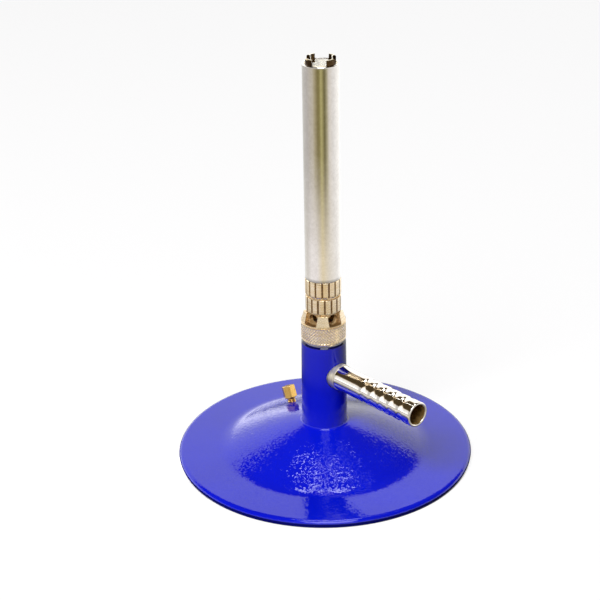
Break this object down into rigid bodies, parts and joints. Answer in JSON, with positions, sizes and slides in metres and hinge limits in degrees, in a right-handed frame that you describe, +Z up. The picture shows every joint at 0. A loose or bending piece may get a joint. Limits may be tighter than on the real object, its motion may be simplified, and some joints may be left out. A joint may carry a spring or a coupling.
{
  "type": "bunsen burner",
  "caption": "Laboratory gas burner with a domed painted base, a painted column, a barbed hose inlet, a turning brass air regulator and a plated barrel with a toothed flame stabiliser.",
  "frame": {"origin": "centre of the base's underside, on the bench, on the column's axis", "axes": "+Z up along the barrel; +X along the gas inlet, towards the hose"},
  "size_m": [0.102, 0.102, 0.141],
  "materials": {
    "blue_paint": "gloss with a fine orange-peel texture",
    "nickel_plate": "bright plated, slightly warm",
    "brass": "machined satin",
    "crown_brass": "polished, heat-darkened at the edges",
    "jet_brass": "bright machined",
    "zinc_steel": "zinc-plated",
    "soft_aluminium": "matt",
    "red_fibre": "matt pressed fibre"
  },
  "bodies": {
    "burner_base": {"base_casting": "blue_paint", "stem_column": "blue_paint", "stem_flat_washer": "zinc_steel", "stem_spring_washer": "zinc_steel", "stem_lock_nut": "zinc_steel", "inlet_nipple": "nickel_plate", "inlet_sealing_washer": "soft_aluminium", "gas_jet": "brass", "jet_sealing_washer": "red_fibre", "mixing_neck": "brass", "collar_thrust_washer": "zinc_steel", "collar_friction_ring": "zinc_steel", "spare_gas_jet": "jet_brass"},
    "collar": {"air_regulator_collar": "brass"},
    "barrel": {"barrel_ferrule": "brass", "barrel_tube": "nickel_plate", "flame_stabiliser": "crown_brass"}
  },
  "joints": [
    {"name": "regulator_turn", "type": "hinge", "parent": "burner_base", "child": "collar", "pos_m": [0, 0, 0.0475], "axis": [0, 0, 1], "continuous": true},
    {"name": "barrel_lift", "type": "slide", "parent": "burner_base", "child": "barrel", "axis": [0, 0, 1], "range_m": [0, 0.03]}
  ]
}
